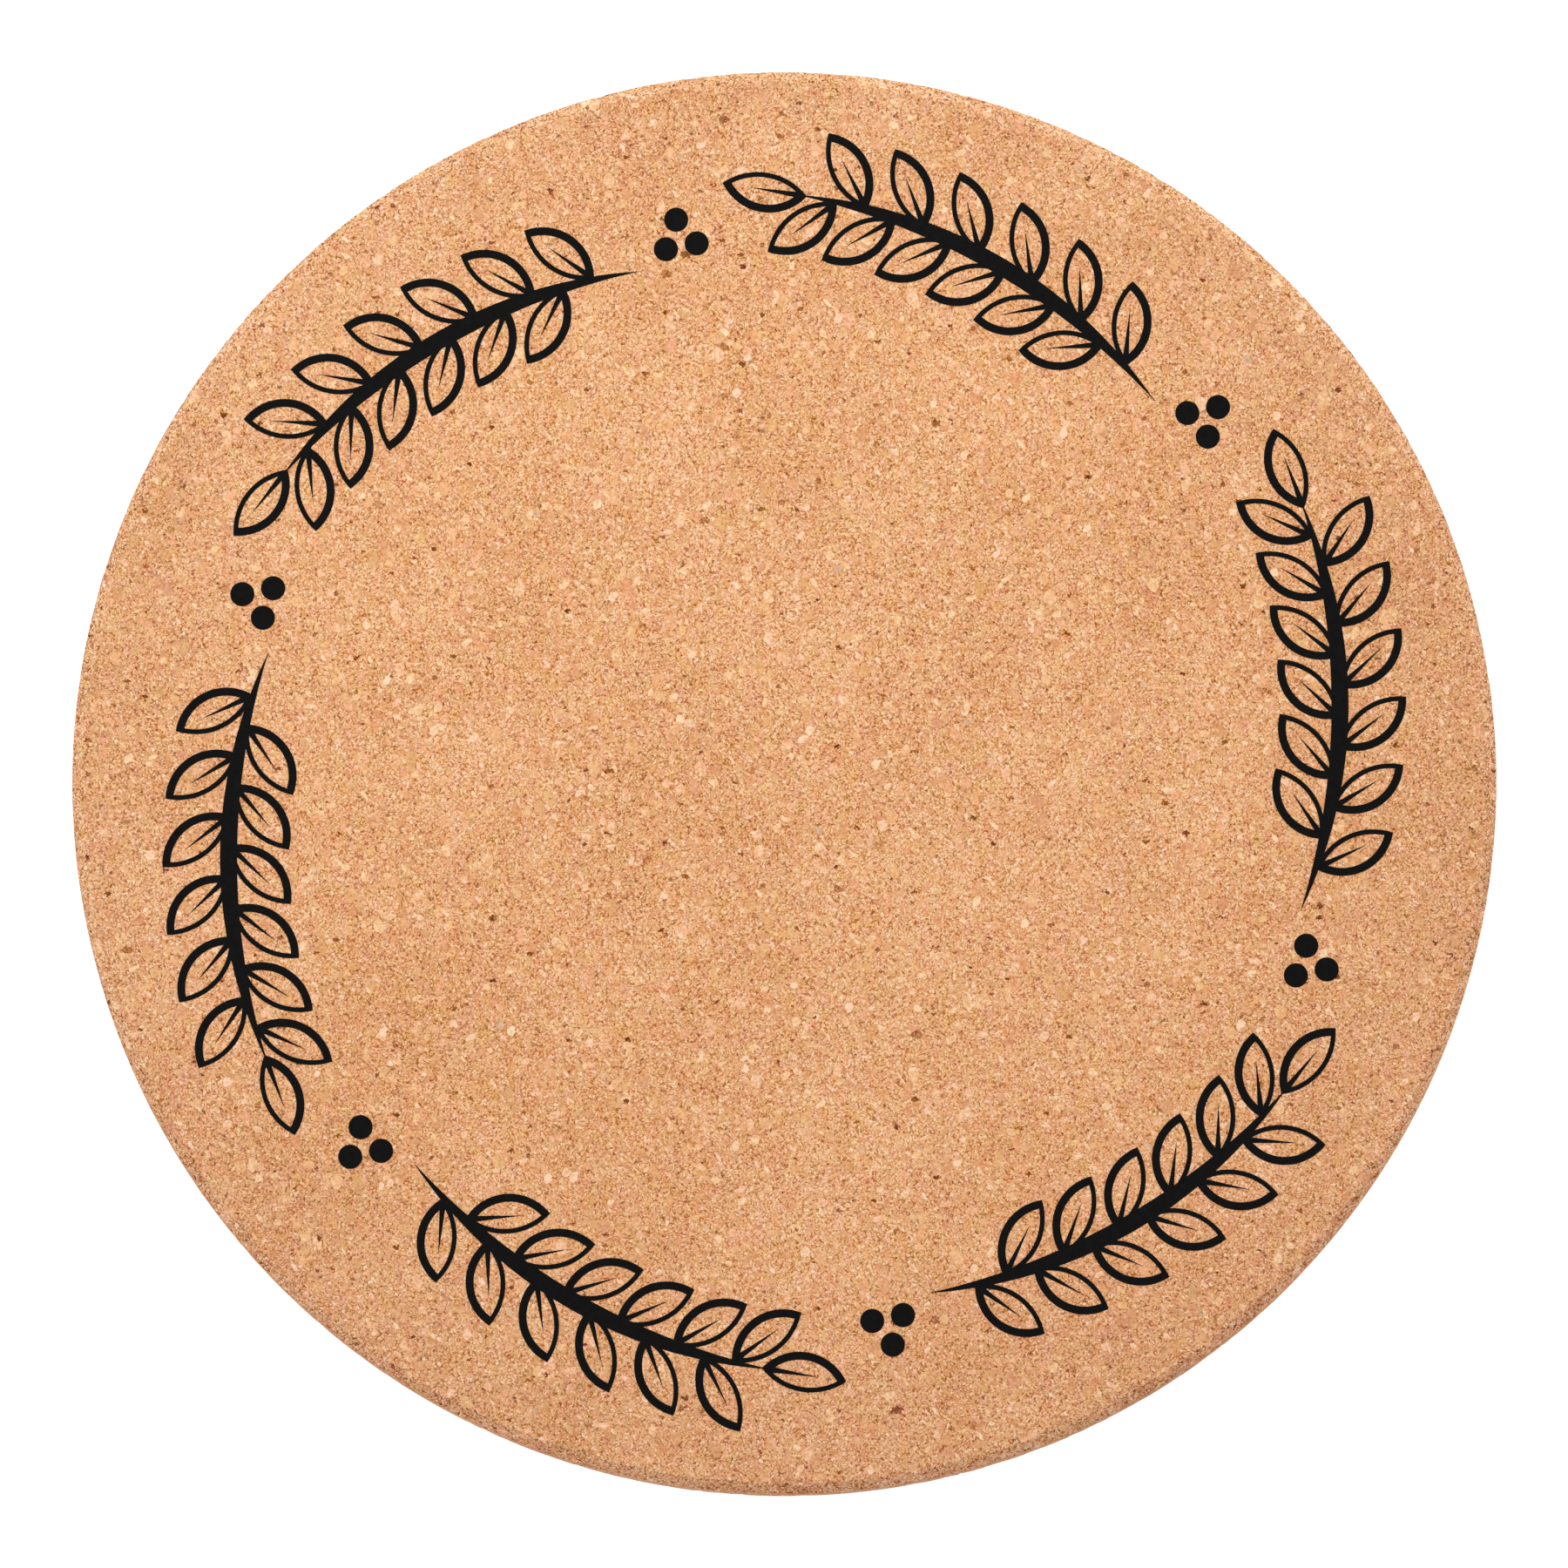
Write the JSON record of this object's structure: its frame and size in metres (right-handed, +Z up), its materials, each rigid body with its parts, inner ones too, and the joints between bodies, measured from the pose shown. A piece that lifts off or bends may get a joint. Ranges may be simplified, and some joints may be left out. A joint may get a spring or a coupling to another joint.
{
  "type": "cork coaster",
  "caption": "Round cork coaster with bevelled rims and a black leaf wreath printed into its top face; it keeps a cup off the table.",
  "frame": {"origin": "middle of the underside, where the coaster rests on the table", "axes": "+Z up through the disc, from the underside to the printed face; +X and +Y lie in the table's plane"},
  "size_m": [0.1, 0.1, 0.005],
  "materials": {
    "cork": "agglomerated cork, sanded, matt",
    "black_ink": "matt black printing ink soaked into cork"
  },
  "bodies": {
    "root": {"cork_disc": "cork", "printed_sprig_1": "black_ink", "printed_sprig_2": "black_ink", "printed_sprig_3": "black_ink", "printed_sprig_4": "black_ink", "printed_sprig_5": "black_ink", "printed_sprig_6": "black_ink", "printed_berries": "black_ink"}
  },
  "joints": []
}
